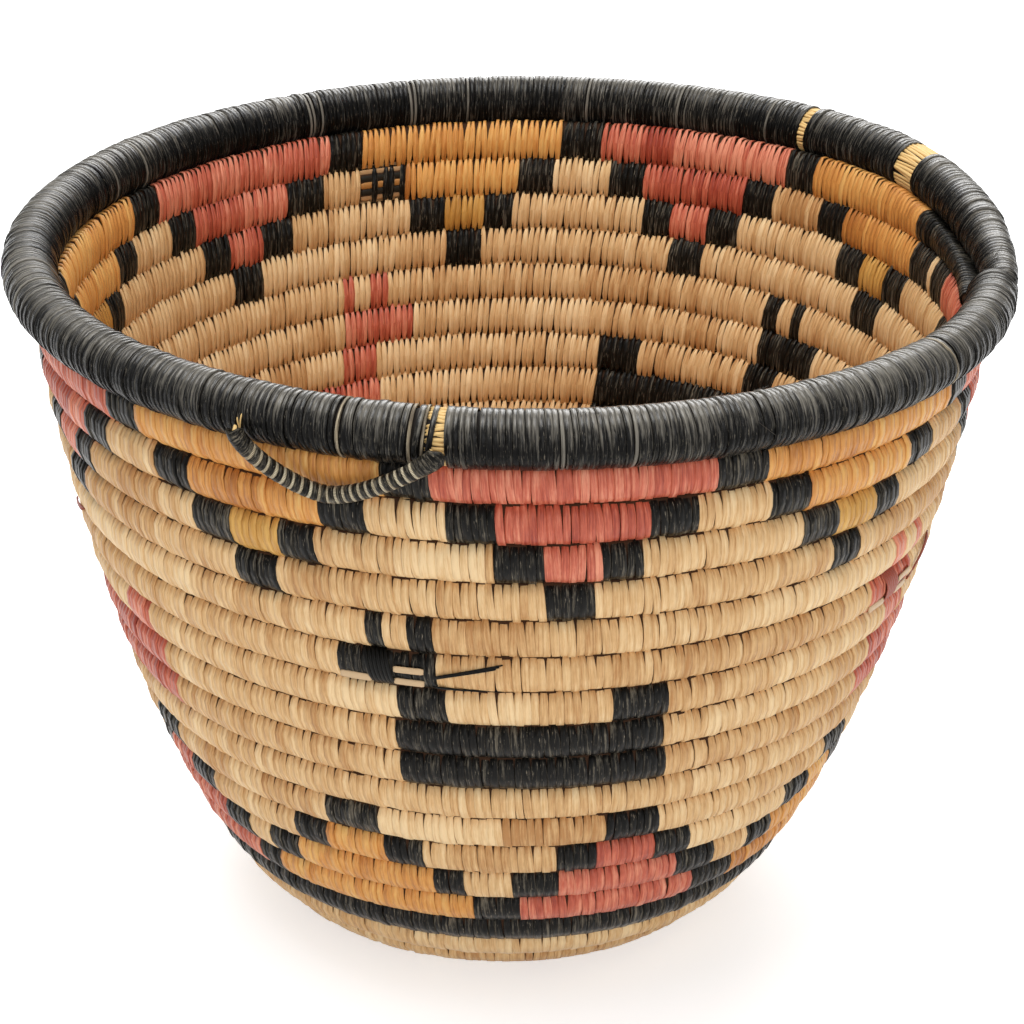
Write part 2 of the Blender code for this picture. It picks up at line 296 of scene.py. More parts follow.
def leafMaterial(name, look):
    nodes = Nodes(bpy.data.materials.new(name))
    maths, times, grain = nodes.maths, nodes.times, leafGrain
    uv = nodes.add("ShaderNodeUVMap", uv_map="UVMap").outputs[0]
    tone = nodes.add("ShaderNodeAttribute", attribute_name="tone").outputs["Fac"]
    parts = nodes.add("ShaderNodeSeparateXYZ")
    nodes.put(parts.inputs[0], uv)
    across, along = maths("FRACT", parts.outputs[0]), parts.outputs[1]
    fibres = nodes.noise(uv, *grain["fibres"])
    patches = nodes.noise(uv, *grain["patches"])
    streaks = times(maths("SUBTRACT", fibres, 0.5), look["streak"] * grain["streakGain"])
    broad = times(maths("SUBTRACT", patches, 0.5), look["broad"])
    # Upward faces: lighter by the painted sheen, and on the rim also glossier.
    upward = maths("SINE", times(along, -fullTurn))
    upward = maths("POWER", maths("MAXIMUM", upward, 0.0), grain["paintedSheenPower"])
    level = maths("ADD", maths("ADD", tone, streaks), broad)
    level = maths("ADD", level, times(upward, look["paintedSheen"]))
    colour = nodes.ramp(level, grain, look)
    if look["dust"]:
        specks = nodes.raised(nodes.noise(uv, *grain["specks"]), *grain["dust"])
        colour = nodes.mix(times(specks, look["dust"]), colour, linear(grain["dustColour"]))
    # Painted shade: each leaf darkens towards its edges, where the seams between the stitches lie.
    side = maths("ABSOLUTE", maths("SUBTRACT", across, 0.5))
    paintedSeamShade = times(patches, grain["seamPatches"], clamp=True)
    paintedSeamShade = times(times(nodes.raised(side, *grain["paintedSeamShade"]), paintedSeamShade), grain["seamShade"])
    # Painted shade: each leaf darkens towards its ends, in the creases between the rounds.
    ends = times(maths("COSINE", times(along, 2 * fullTurn)), -1.0)
    paintedCreaseShade = times(nodes.raised(ends, *grain["paintedCreaseShade"]), look["paintedCreaseShade"])
    colour = nodes.mix(maths("MAXIMUM", paintedSeamShade, paintedCreaseShade), colour, linear(look["paintedSeamShade"]))
    # The woven threads are the band's own pattern, drawn in the colour of its seam shade.
    if look["weave"]:
        threads = maths("SINE", times(along, look["weave"] * fullTurn))
        threads = times(threads, times(patches, grain["threadPatches"]), clamp=True)
        colour = nodes.mix(threads, colour, linear(look["paintedSeamShade"]))
    nodes.shade("Base Color", colour)
    nodes.shade("Roughness", look["roughness"])
    nodes.shade("Specular IOR Level", look["specular"])
    if look["gloss"]:
        gloss = maths("ADD", times(upward, look["gloss"]), look["specular"])
        nodes.shade("Specular IOR Level", gloss)
    nodes.bump(fibres, *grain["bump"])
    return nodes.owner


# Three copies of one grass: bright where it lies bare, in painted shade between the stitches and in deeper
# painted shade under the rim's wraps.
grassLooks = {
    "bright": {"pale": (250, 232, 190), "middle": (228, 192, 128), "deep": (164, 112, 56), "roughness": 0.55},
    "shaded": {"pale": (96, 60, 31), "middle": (62, 37, 18), "deep": (32, 19, 9), "roughness": 0.8},
    "deepShaded": {"pale": (40, 29, 19), "middle": (24, 17, 11), "deep": (12, 9, 6), "roughness": 0.8},
}
grassGrain = {
    "stalks": ((60.0, 2200.0, 1.0), 4.0, 0.6),
    "deepAt": 0.3, "middleAt": 0.5, "paleAt": 0.72,
    "specular": 0.3,
    "bump": (0.8, 0.3 * mm),
}


def grassMaterial(name, look):
    nodes = Nodes(bpy.data.materials.new(name))
    uv = nodes.add("ShaderNodeUVMap", uv_map="UVMap").outputs[0]
    stalks = nodes.noise(uv, *grassGrain["stalks"])
    nodes.shade("Base Color", nodes.ramp(stalks, grassGrain, look))
    nodes.shade("Roughness", look["roughness"])
    nodes.shade("Specular IOR Level", grassGrain["specular"])
    nodes.bump(stalks, *grassGrain["bump"])
    return nodes.owner


leafKinds = list(leafLooks)
leaves = {kind: leafMaterial(kind + "Leaf", {**plainLeaf, **look}) for kind, look in leafLooks.items()}
grasses = {kind: grassMaterial(kind + "Grass", look) for kind, look in grassLooks.items()}


def kindNumber(kind):
    return leafKinds.index(kind)


def addObject(name, data):
    added = bpy.data.objects.new(name, data)
    bpy.context.scene.collection.objects.link(added)
    return added


def stored(items, key, width=1, kind=np.int32):
    values = np.empty(len(items) * width, kind)
    items.foreach_get(key, values)
    return values


def setTones(data, tones):
    attribute = data.attributes.new("tone", "FLOAT", "POINT")
    attribute.data.foreach_set("value", tones.astype(np.float32))


def meshData(name, mesh):
    data = bpy.data.meshes.new(name)
    mesh.to_mesh(data)
    mesh.free()
    return data


# Building blocks: one band bent into a ring is copied for every wrap, and tubes are rolled up from a grid.
# A band's section is a square, one unit wide: its outer corners shape the leaf, and its inner ones lie in the
# seams between the wraps.
band = {"radius": 3.0, "step": 4.0, "topSide": 0.22}
tube = {"endShare": 0.02, "stripLength": 0.2, "mergeDistance": 1e-7}


def bandTemplate(stations):
    mesh = bmesh.new()
    section = Matrix.Translation((0, band["radius"], 0)) @ Matrix.Rotation(math.pi / 4, 4, "Z")
    bmesh.ops.create_circle(mesh, segments=4, radius=math.sqrt(0.5), matrix=section)
    bmesh.ops.spin(mesh, geom=mesh.verts[:] + mesh.edges[:], cent=(0, 0, 0), axis=(1, 0, 0), dvec=(0, 0, 0),
                   angle=fullTurn, steps=stations, use_merge=True)
    layer = mesh.loops.layers.uv.new("UVMap")
    for face in mesh.faces:
        middle = face.calc_center_median()
        centre = math.atan2(middle.z, middle.y)
        for corner in face.loops:
            place = corner.vert.co
            top = math.hypot(place.y, place.z) > band["radius"]
            turn = (math.atan2(place.z, place.y) - centre + math.pi) % fullTurn - math.pi
            side = math.copysign(band["topSide"] if top else 0.5, place.x)
            corner[layer].uv = (0.5 + side, (centre + turn) / fullTurn + 0.5)
    return meshData("bandTemplate", mesh)


def bandCopies(template, count):
    source = addObject("bandSource", template)
    array = source.modifiers.new("Copies", "ARRAY")
    array.count = count
    array.use_relative_offset = False
    array.use_constant_offset = True
    array.constant_offset_displace = (band["step"], 0.0, 0.0)
    graph = bpy.context.evaluated_depsgraph_get()
    data = bpy.data.meshes.new_from_object(source.evaluated_get(graph))
    bpy.data.objects.remove(source)
    places = stored(data.vertices, "co", 3, np.float32).reshape(-1, 3).astype(float)
    index = np.round(places[:, 0] / band["step"]).astype(int)
    return {
        "data": data,
        "index": index,
        "side": np.sign(places[:, 0] - index * band["step"]),
        "top": np.hypot(places[:, 1], places[:, 2]) > band["radius"],
        "around": np.arctan2(places[:, 2], places[:, 1]),
    }


def shapeBands(bands, points, tones, kinds):
    data = bands["data"]
    data.vertices.foreach_set("co", points.astype(np.float32).ravel())
    setTones(data, tones[bands["index"]])
    corners = stored(data.loops, "vertex_index")
    layer = data.uv_layers["UVMap"].uv
    uv = stored(layer, "vector", 2, np.float32)
    uv[0::2] += bands["index"][corners]
    layer.foreach_set("vector", uv)
    starts = stored(data.polygons, "loop_start")
    data.materials.clear()
    for kind in leafKinds:
        data.materials.append(leaves[kind])
    data.polygons.foreach_set("material_index", kinds[bands["index"][corners[starts]]].astype(np.int32))
    turnOutward(data)
    return data


def turnOutward(data):
    mesh = bmesh.new()
    mesh.from_mesh(data)
    bmesh.ops.recalc_face_normals(mesh, faces=mesh.faces)
    mesh.to_mesh(data)
    mesh.free()
    data.shade_smooth()
    data.update()


# Length and girth scale the texture of a round tube. A flat strip's texture runs across it, and its girth is
# the strip's number.
def addTube(mesh, cells, sides, place, length, girth, material=0, flat=False):
    layer = mesh.loops.layers.uv.verify()
    made = bmesh.ops.create_grid(mesh, x_segments=cells, y_segments=sides, size=0.5)["verts"]
    places = np.array([vertex.co for vertex in made]) + 0.5
    for face in {face for vertex in made for face in vertex.link_faces}:
        face.material_index = material
        for corner in face.loops:
            along, around = corner.vert.co.x + 0.5, corner.vert.co.y + 0.5
            if flat:
                across = 0.5 - 0.5 * math.cos(fullTurn * around)
                corner[layer].uv = (across + girth, 0.5 + tube["stripLength"] * along)
            else:
                corner[layer].uv = (along * length, around * girth)
    points = place(places[:, 0], places[:, 1] * fullTurn)
    for vertex, point in zip(made, points):
        vertex.co = point
    bmesh.ops.remove_doubles(mesh, verts=made, dist=tube["mergeDistance"])
    edges = [edge for edge in {edge for vertex in made if vertex.is_valid for edge in vertex.link_edges}
             if edge.is_boundary]
    bmesh.ops.holes_fill(mesh, edges=edges, sides=0)


def alongLine(line, wanted, steps):
    return np.stack([np.interp(wanted, steps, line[:, axis]) for axis in range(3)], axis=-1)


def tubeAlong(centres, radius, flatness=1.0, ends=0.35):
    steps = shares(len(centres))
    travel = np.gradient(centres, axis=0)
    travel /= np.linalg.norm(travel, axis=1)[:, None]
    outward = centres * [1.0, 1.0, 0.0]
    outward /= np.linalg.norm(outward, axis=1)[:, None]
    side = np.cross(travel, outward)
    side /= np.linalg.norm(side, axis=1)[:, None]
    front = np.cross(side, travel)

    def place(share, turn):
        centre, across, outer = (alongLine(field, share, steps) for field in (centres, side, front))
        edge = np.minimum(share, 1.0 - share)
        size = (radius * np.where(edge < tube["endShare"], ends, 1.0))[:, None]
        turn = turn[:, None]
        return centre + size * np.cos(turn) * across + size * flatness * np.sin(turn) * outer

    return place


# Tones run from 0, deep, to 1, pale. The wraps made from one splint share most of theirs.
splintTone = {"middle": 0.5, "splintSpread": 0.12, "wrapSpread": 0.1, "lowest": 0.05, "highest": 0.95,
              "evenMiddle": 0.42, "evenShare": 0.35}


def splintTones(draw, count, length):
    changes = draw.random(count) < 1.0 / length
    splint = np.cumsum(changes)
    shared = draw.normal(0.0, splintTone["splintSpread"], splint[-1] + 1)
    tones = splintTone["middle"] + shared[splint] + draw.normal(0.0, splintTone["wrapSpread"], count)
    return np.clip(tones, splintTone["lowest"], splintTone["highest"])


def evened(tones):
    return splintTone["evenMiddle"] + splintTone["evenShare"] * (tones - splintTone["middle"])


def finishPiece(name, data, body, nodes=(), materials=()):
    for material in materials:
        data.materials.append(material)
    piece = addObject(name, data)
    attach(piece, body)
    if nodes:
        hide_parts(*nodes)


def finishTubes(name, mesh, body, nodes=(), materials=(), tone=splintTone["middle"]):
    data = meshData(name, mesh)
    setTones(data, np.full(len(data.vertices), tone))
    turnOutward(data)
    finishPiece(name, data, body, nodes, materials)


def squared(values, power):
    return np.sign(values) * np.abs(values) ** power


# The pattern of the stitching, by row under the rim and by angle in degrees.
pattern = {
    "topStep": 36.0, "topStart": -6.9,
    "topFill": {1: 15.25, 2: 8.5, 3: 3.1, 4: -1.0},
    "topBlack": {1: 18.0, 2: 13.7, 3: 8.1, 4: 2.8},
    "yellowRow": 3,
    "blackFrom": 253.0,
    "upperStep": 261.0, "lowerStep": 270.0,
    "lastUpperRow": 10,
    "drift": ((75.0, 115.0, 150.0, 245.0, 255.0), (0.0, 2.0, 0.5, 1.0, 0.0)),
    "animalStep": 72.0,
    "animalColours": ("black", "red", "red", "black", "red"),
    "animal": {5: ((8.4, 11.1), (13.9, 16.2)), 6: ((8.4, 20.1),), 7: ((7.5, 13.3), (-19.8, -13.3)),
               8: ((-20.4, 14.1),), 9: ((-21.2, 14.0),)},
    "lower": ((22.7, "ochre"), (-18.7, "red"), (-61.0, "ochre"), (62.0, "red"), (107.0, "ochre"),
              (153.0, "red"), (200.0, "ochre"), (249.0, "red")),
    "lowerFill": {11: {"ochre": -1.0, "red": -1.0}, 12: {"ochre": 4.5, "red": 4.5},
                  13: {"ochre": 11.4, "red": 10.25}, 14: {"ochre": 17.85, "red": 15.55}},
    "lowerBlack": {11: 4.0, 12: 11.0, 13: 17.3, 14: 180.0},
    "blackRow": 15, "baredRow": 2, "bared": (157.0, 163.0),
    "splices": ((158.2, 159.2), (160.6, 161.6)),
}


def angleFrom(degrees, centre):
    return np.abs((degrees - centre + 180.0) % 360.0 - 180.0)


def topRowKinds(row, degrees, kinds):
    step = pattern["topStep"]
    number = np.round((degrees - pattern["topStart"]) / step)
    off = np.abs(degrees - pattern["topStart"] - step * number)
    ochre = kindNumber("yellow" if row == pattern["yellowRow"] else "ochre")
    fill = np.where(number % 2 == 0, kindNumber("red"), ochre)
    kinds[off < pattern["topBlack"][row]] = kindNumber("black")
    return np.where(off < pattern["topFill"][row], fill, kinds)


def rowKinds(row, degrees):
    kinds = np.full(len(degrees), kindNumber("natural"))
    if row in pattern["topBlack"]:
        kinds = topRowKinds(row, degrees, kinds)
    if row in pattern["animal"]:
        for number, colour in enumerate(pattern["animalColours"]):
            placed = (degrees - pattern["animalStep"] * number + 180.0) % 360.0 - 180.0
            for low, high in pattern["animal"][row]:
                kinds[(placed > low) & (placed < high)] = kindNumber(colour)
    if row in pattern["lowerBlack"]:
        for centre, _ in pattern["lower"]:
            kinds[angleFrom(degrees, centre) < pattern["lowerBlack"][row]] = kindNumber("black")
        for centre, colour in pattern["lower"]:
            kinds[angleFrom(degrees, centre) < pattern["lowerFill"][row][colour]] = kindNumber(colour)
    if row == pattern["blackRow"]:
        kinds[:] = kindNumber("black")
    return kinds


# Past the step's angle a round carries the row above its own, because the coil has climbed that far by then.
def patternKinds(row, degrees):
    drawn = degrees + np.interp(degrees, *pattern["drift"])
    if row == 1:
        return np.where(degrees > pattern["blackFrom"], kindNumber("black"), rowKinds(row, drawn))
    step = pattern["upperStep"] if row <= pattern["lastUpperRow"] else pattern["lowerStep"]
    return np.where(degrees > step, rowKinds(row - 1, drawn), rowKinds(row, drawn))


# Stitches: one piece for each turn of the coil. The rows of shares follow the angles round a stitch, from 0
# outside over 90 on top to 180 inside: its width, how far its tips reach over and how deep they sink there.
stitch = {
    "spacing": 2.5 * mm, "topSpacing": 2.37 * mm,
    "spacingRounds": (5, 2),
    "samplesPerRound": 200,
    "stations": 16,
    "crowding": 0.18,
    "depth": 0.5 * mm,
    "topShare": 0.88, "lapShare": 1.12,
    "angles": (-180, -150, -125, -105, -90, -75, -50, 24, 50, 76, 90, 105, 125, 150, 180),
    "widthShares": (1.0, 0.92, 0.6, 0.5, 1.0, 0.85, 1.0, 1.0, 0.92, 0.66, 1.0, 0.4, 0.48, 0.85, 1.0),
    "reachShares": (0.0, 0.2, 1.0, 0.6, 0.0, 0.0, 0.0, 0.0, 0.0, 0.0, 0.0, 0.5, 0.85, 0.25, 0.0),
    "swellShares": (0.0, 0.1, 0.65, 1.0, 0.0, 0.0, 0.0, 0.0, 0.0, 0.0, 0.0, 0.9, 0.55, 0.1, 0.0),
    "tipReach": 1.2 * mm, "tipSwell": 1.1 * mm, "tipSpread": 0.35,
    "ragged": 0.3 * mm,
    "floorGap": 0.02 * mm,
    "widthSpread": 0.05, "placeSpread": 0.05, "liftSpread": 0.1 * mm, "slantSpread": 0.22 * mm,
    "coverGain": 3.0,
    "bow": 0.35 * mm,
    "slant": 0.6 * mm,
    "tuck": 0.1 * mm, "lowerTuck": 0.55 * mm,
    "squareness": 0.84,
    "splintLength": 11,
    "seed": 11,
}


def stitchTurns():
    grid = np.linspace(0.0, roundCount, stitch["samplesPerRound"] * roundCount + 1)
    rounds = roundCount - np.array(stitch["spacingRounds"])
    spacing = np.interp(grid, rounds, (stitch["spacing"], stitch["topSpacing"]))
    density = outerRadius(grid) * fullTurn / spacing
    counted = np.concatenate([[0.0], np.cumsum((density[1:] + density[:-1]) / 2 * np.diff(grid))])
    count = int(counted[-1])
    places = np.interp((np.arange(count) + 0.5) / count * counted[-1], counted, grid)
    return places, np.interp(places, grid, spacing)


def sectionShare(name, around):
    return np.interp(np.degrees(around), stitch["angles"], stitch[name])


def makeStitches():
    template = bandTemplate(stitch["stations"])
    allTurns, allSpacing = stitchTurns()
    total = 0
    for number in range(1, roundCount + 1):
        draw = np.random.default_rng([stitch["seed"], number])
        chosen = (allTurns >= number - 1) & (allTurns < number)
        turns, spacing = allTurns[chosen], allSpacing[chosen]
        row = roundCount + 1 - number
        degrees = wall["endAngle"] + 360.0 * (turns - number)
        kinds = patternKinds(row, degrees)
        tones = splintTones(draw, len(turns), stitch["splintLength"])
        tones = np.where(kinds == kindNumber("black"), evened(tones), tones)
        if row == pattern["baredRow"]:
            spliced = np.zeros(len(turns), bool)
            for low, high in pattern["splices"]:
                spliced |= (degrees > low) & (degrees < high)
            kinds[spliced] = kindNumber("black")
            kept = spliced | (degrees < pattern["bared"][0]) | (degrees > pattern["bared"][1])
            turns, kinds, tones, spacing = turns[kept], kinds[kept], tones[kept], spacing[kept]
        count = len(turns)
        bands = bandCopies(template, count)
        index, top = bands["index"], bands["top"]
        around = bands["around"] + stitch["crowding"] * np.sin(2 * bands["around"])
        outer = outerRadius(turns)
        half = spacing / 2 * stitch["lapShare"] * draw.normal(1.0, stitch["widthSpread"], count)
        turns = turns + draw.normal(0.0, stitch["placeSpread"], count) * spacing / (fullTurn * outer)
        lift = draw.normal(0.0, stitch["liftSpread"], count)
        slant = stitch["slant"] + draw.normal(0.0, stitch["slantSpread"], count)
        lower = stitch["lowerTuck"] + np.abs(draw.normal(0.0, stitch["ragged"], count))
        covering = np.clip(stitch["coverGain"] * taper(turns) / wall["taperShare"], 0.0, 1.0)[index]
        arch = sectionShare("widthShares", around) * (1.0 - covering) + covering
        width = bands["side"] * half[index] * np.where(top, stitch["topShare"], 1.0) * arch
        offset = width + stitch["bow"] * np.cos(around) + slant[index] * np.sin(around)
        inset = np.where(top, -lift[index], stitch["depth"])
        upDown = np.sin(around)
        tuck = np.where(upDown > 0, -stitch["tuck"], lower[index])
        reach = pitchHalf + tuck * np.abs(upDown) - inset
        tip = stitch["tipReach"] * draw.normal(1.0, stitch["tipSpread"], count)[index] * (1.0 - covering)
        out = (wallHalf - inset) * squared(np.cos(around), stitch["squareness"])
        out -= stitch["tipSwell"] * sectionShare("swellShares", around)
        along = reach * squared(upDown, stitch["squareness"])
        along += np.sign(upDown) * tip * sectionShare("reachShares", around)
        place = turns[index] + offset / (fullTurn * outer[index])
        points = coilPoints(place, along, out)
        points[:, 2] = np.maximum(points[:, 2], stitch["floorGap"])
        data = shapeBands(bands, points, tones, kinds)
        leading = leafKinds[int(np.bincount(kinds).argmax())]
        node = f"stitching_round_{number:02d}"
        finishPiece(f"stitchesRound{number:02d}", data, "basket", (node,))
        total += count
    print(f"stitches: {total} in {roundCount} rounds")


makeStitches()

# Start of the coil: a knot of splints fanned round the centre of the base.
knot = {
    "wraps": 26,
    "stations": 14,
    "eye": 0.5 * mm,
    "depth": 0.5 * mm,
    "topShare": 0.6, "widthShare": 0.56,
    "squareness": 0.7,
    "tone": 0.5, "toneSpread": 0.15, "toneRange": (0.1, 0.9),
    "seed": 5,
}


def makeKnot():
    draw = np.random.default_rng(knot["seed"])
    bands = bandCopies(bandTemplate(knot["stations"]), knot["wraps"])
    index, around, top = bands["index"], bands["around"], bands["top"]
    share = (np.arange(knot["wraps"]) + 0.5) / knot["wraps"]
    edge = wallPoints(share, -pitchHalf - wall["roundGap"] / 2)
    reach = np.hypot(edge[:, 0] + wall["baseShift"], edge[:, 1])
    inset = np.where(top, 0.0, knot["depth"])
    middle = (reach + knot["eye"]) / 2
    half = (reach - knot["eye"]) / 2
    radius = middle[index] + (half[index] - inset) * np.cos(around)
    rise = (wallHalf - inset) * squared(np.sin(around), knot["squareness"])
    height = wallHalf + rise
    width = bands["side"] * knot["widthShare"] * np.where(top, knot["topShare"], 1.0) / knot["wraps"]
    angle = math.radians(wall["endAngle"]) + fullTurn * (share[index] + width)
    points = np.stack([-radius * np.sin(angle) - wall["baseShift"], -radius * np.cos(angle), height], axis=-1)
    tones = np.clip(draw.normal(knot["tone"], knot["toneSpread"], knot["wraps"]), *knot["toneRange"])
    data = shapeBands(bands, points, tones, np.full(knot["wraps"], kindNumber("natural")))
    finishPiece("startKnot", data, "basket", ("start_knot",))
    print("start knot")


makeKnot()

# Foundation: the bundle inside the stitches, which shows between them.
foundation = {
    "start": 0.03,
    "inset": 0.9 * mm,
    "lap": 0.28 * mm, "endLap": -0.5 * mm, "endTurns": (0.25, 0.15),
    "cellsPerRound": 60,
    "sides": 12,
}


def makeFoundation():
    mesh = bmesh.new()

    def place(share, turn):
        turns = between(foundation["start"], roundCount, share)
        end = roundCount - np.array(foundation["endTurns"])
        lap = np.interp(turns, end, (foundation["lap"], foundation["endLap"]))
        along = (pitchHalf + lap) * squared(np.sin(turn), stitch["squareness"])
        out = (wallHalf - foundation["inset"]) * squared(np.cos(turn), stitch["squareness"])
        return coilPoints(turns, along, out)

    radius = profileAt(roundCount / 2)[0]
    addTube(mesh, foundation["cellsPerRound"] * roundCount, foundation["sides"], place,
            fullTurn * radius * roundCount, math.pi * wall["thickness"])
    # The bundle between the stitches is coloured in painted shade.
    finishTubes("foundationCoil", mesh, "basket", ("foundation_coil",), (grasses["shaded"],))
    print("foundation coil")


makeFoundation()

# Rim: a thick bundle wrapped in black splints, with the grass bare in three places. Of the wraps, a few are
# dusty and narrow, and four are pale: those hold an angle and how far each leans.
rim = {
    "overhang": 4.2 * mm,
    "seatGap": 0.4 * mm,
    "tailOverhang": 6.4 * mm,
    "stops": (0.0, 0.09, 0.40, 0.84, 0.955, 1.0),
    "thicknesses": (15.2 * mm, 16.6 * mm, 16.6 * mm, 15.6 * mm, 14.4 * mm, 9.5 * mm),
    "endReach": 3.0 * mm, "endRounding": 0.75,
    "skirt": 2.2 * mm, "skirtTurn": math.radians(235.0),
    "spacing": 1.85 * mm,
    "stations": 20,
    "depth": 0.5 * mm,
    "topShare": 0.89, "lapShare": 1.1,
    "widthSpread": 0.1, "liftSpread": 0.12 * mm, "slantSpread": 0.2 * mm,
    "splintLength": 9,
    "dustyShare": 0.04, "dustyTone": 0.85, "dustyWidth": 0.5,
    "pales": ((16.9, 0.0), (8.4, 0.3 * mm), (9.7, 0.5 * mm), (307.0, 2.2 * mm)),
    "paleTone": 0.35, "paleWidth": 0.42, "paleLift": 0.05 * mm,
    "slant": 0.35 * mm, "slotSlant": 1.9 * mm, "slotSlantReach": 12.0 * mm, "slotAngle": 6.8,
    "slotWidth": 3.6 * mm,
    "patchAngle": 245.4, "patchWidth": 13.0 * mm,
    "spotAngle": 224.5, "spotWidth": 5.0 * mm,
    "seed": 23,
}
rimReach = turnsFor(rim["endReach"], roundCount)
rimFirst = roundCount - 1 - rimReach
rimLast = roundCount + rimReach


def rimSize(turns):
    share = turns - (roundCount - 1)
    past = np.clip(np.maximum(share - 1.0, -share) / rimReach, 0.0, 1.0)
    thickness = np.interp(share, rim["stops"], rim["thicknesses"])
    thickness = thickness * np.sqrt(1.0 - rim["endRounding"] * past ** 2)
    drop = wall["pitch"] * taper(turns)
    return thickness, (wall["pitch"] - wall["roundGap"]) / 2 + rim["seatGap"] + thickness / 2 - drop


def rimOverhang(turns):
    return np.interp(turns - (roundCount - 1), rim["stops"][-2:], (rim["overhang"], rim["tailOverhang"]))


def rimPoints(turns, turn, inset):
    thickness, seat = rimSize(turns)
    skirt = rim["skirt"] * np.clip(np.cos(turn - rim["skirtTurn"]), 0.0, 1.0) ** 2
    size = thickness / 2 - inset + skirt
    return wallPoints(turns, seat + size * np.sin(turn), rimOverhang(turns) + size * np.cos(turn))


def rimBares():
    bares = []
    for place in ("slot", "patch", "spot"):
        centre = topTurns(rim[place + "Angle"])
        half = turnsFor(rim[place + "Width"], centre) / 2
        bares.append((centre - half, centre + half))
    return bares


def makeRimWraps():
    draw = np.random.default_rng(rim["seed"])
    radius = wall["topRadius"] + rim["overhang"] + max(rim["thicknesses"]) / 2
    count = int((rimLast - rimFirst) * fullTurn * radius / rim["spacing"])
    turns = between(rimFirst, rimLast, (np.arange(count) + 0.5) / count)
    kept = np.ones(count, bool)
    bares = rimBares()
    for low, high in bares:
        kept &= (turns < low) | (turns > high)
    slot, patch, _ = bares
    tones = evened(splintTones(draw, count, rim["splintLength"]))
    kinds = np.full(count, kindNumber("rim"))
    dusty = draw.random(count) < rim["dustyShare"]
    tones[dusty] = rim["dustyTone"]
    half = rim["spacing"] / 2 * rim["lapShare"] * draw.normal(1.0, rim["widthSpread"], count)
    half[dusty] *= rim["dustyWidth"]
    lift = draw.normal(0.0, rim["liftSpread"], count)
    away = np.clip(turns - slot[1], 0.0, 1.0) * fullTurn * radius
    slant = draw.normal(rim["slant"], rim["slantSpread"], count)
    slant -= rim["slotSlant"] * np.exp(-away / rim["slotSlantReach"]) * (turns > slot[1])
    for degrees, lean in rim["pales"]:
        pale = int(np.argmin(np.abs(turns - topTurns(degrees))))
        kinds[pale] = kindNumber("cream")
        tones[pale] = rim["paleTone"]
        half[pale] *= rim["paleWidth"]
        lift[pale] = rim["paleLift"]
        slant[pale] += lean
    lengths = {
        "rimWrapsRight": (rimFirst, slot[0], "rim_binding_right"),
        "rimWrapsLeft": (slot[1], patch[0], "rim_binding_left"),
        "rimWrapsTail": (patch[1], rimLast, "rim_binding_tail"),
    }
    template = bandTemplate(rim["stations"])
    for name, (low, high, node) in lengths.items():
        chosen = np.nonzero(kept & (turns > low) & (turns < high))[0]
        bands = bandCopies(template, len(chosen))
        index, around, top = bands["index"], bands["around"], bands["top"]
        wrap = chosen[index]
        width = bands["side"] * half[wrap] * np.where(top, rim["topShare"], 1.0)
        offset = width + slant[wrap] * np.sin(around)
        inset = np.where(top, -lift[wrap], rim["depth"])
        data = shapeBands(bands, rimPoints(turns[wrap] + offset / (fullTurn * radius), around, inset),
                          tones[chosen], kinds[chosen])
        finishPiece(name, data, "basket", (node,))
    print(f"rim: {count} wraps")


makeRimWraps()

# Hanging loop: a thin bundle with dark wraps and narrow cream bands between them. The rim's grass, made next,
# uses the angle of the loop's left end.
loop = {
    "leftAngle": 27.3,
    "drop": 20.2 * mm,
    "bow": 1.9 * mm,
    "thickness": 5.2 * mm, "coreThickness": 3.4 * mm,
    "seatGap": 0.3 * mm,
    "leftEnd": 0.8 * mm, "rightEnd": 1.2 * mm,
    "collarSwell": 0.17, "collarReach": 7.0 * mm,
    "skew": 0.77,
    "sagPower": 1.6,
    "coreSides": 8,
    "lineSamples": 200, "evenSamples": 160,
    "grassCells": 60, "grassSides": 10,
    "spacing": 1.45 * mm,
    "stations": 14,
    "depth": 0.5 * mm,
    "topShare": 0.72, "slantShare": 0.55,
    "darkEnds": 5, "darkWidth": 0.66, "darkTone": (0.5, 0.06),
    "creamWidth": 0.4, "creamInset": 0.12 * mm, "creamTone": (0.6, 0.2),
    "widthSpread": 0.08,
    "seed": 31,
}

# The grass of the rim: its bundle, the stalks in the bare places and the straws of the loop's two ends. The
# numbers of a straw are its drift along the rim in degrees and the angles round the rim where it starts and
# ends. The ranges of a stalk's radius and depth are in millimetres.
rimGrass = {
    "inset": 1.1 * mm,
    "cells": 260,
    "sides": 14,
    "stalks": 40,
    "stalkOver": 2.5 * mm, "stalkShift": 0.3, "stalkRadius": (0.5, 0.8), "stalkDepth": (0.3, 0.8),
    "stalkTwist": 0.08, "stalkSamples": 9, "stalkSides": 6, "stalkGirth": 4.0 * mm,
    "leftStraws": ((-0.3, -0.25, 0.35), (0.2, -0.3, 0.2)),
    "rightStraws": ((1.0, -0.25, 0.05), (0.6, -0.4, -0.1), (1.3, -0.35, -0.05)),
    "strawLift": 0.25 * mm, "strawRadius": 0.24 * mm, "strawLength": 12.0 * mm,
    "seed": 24,
}


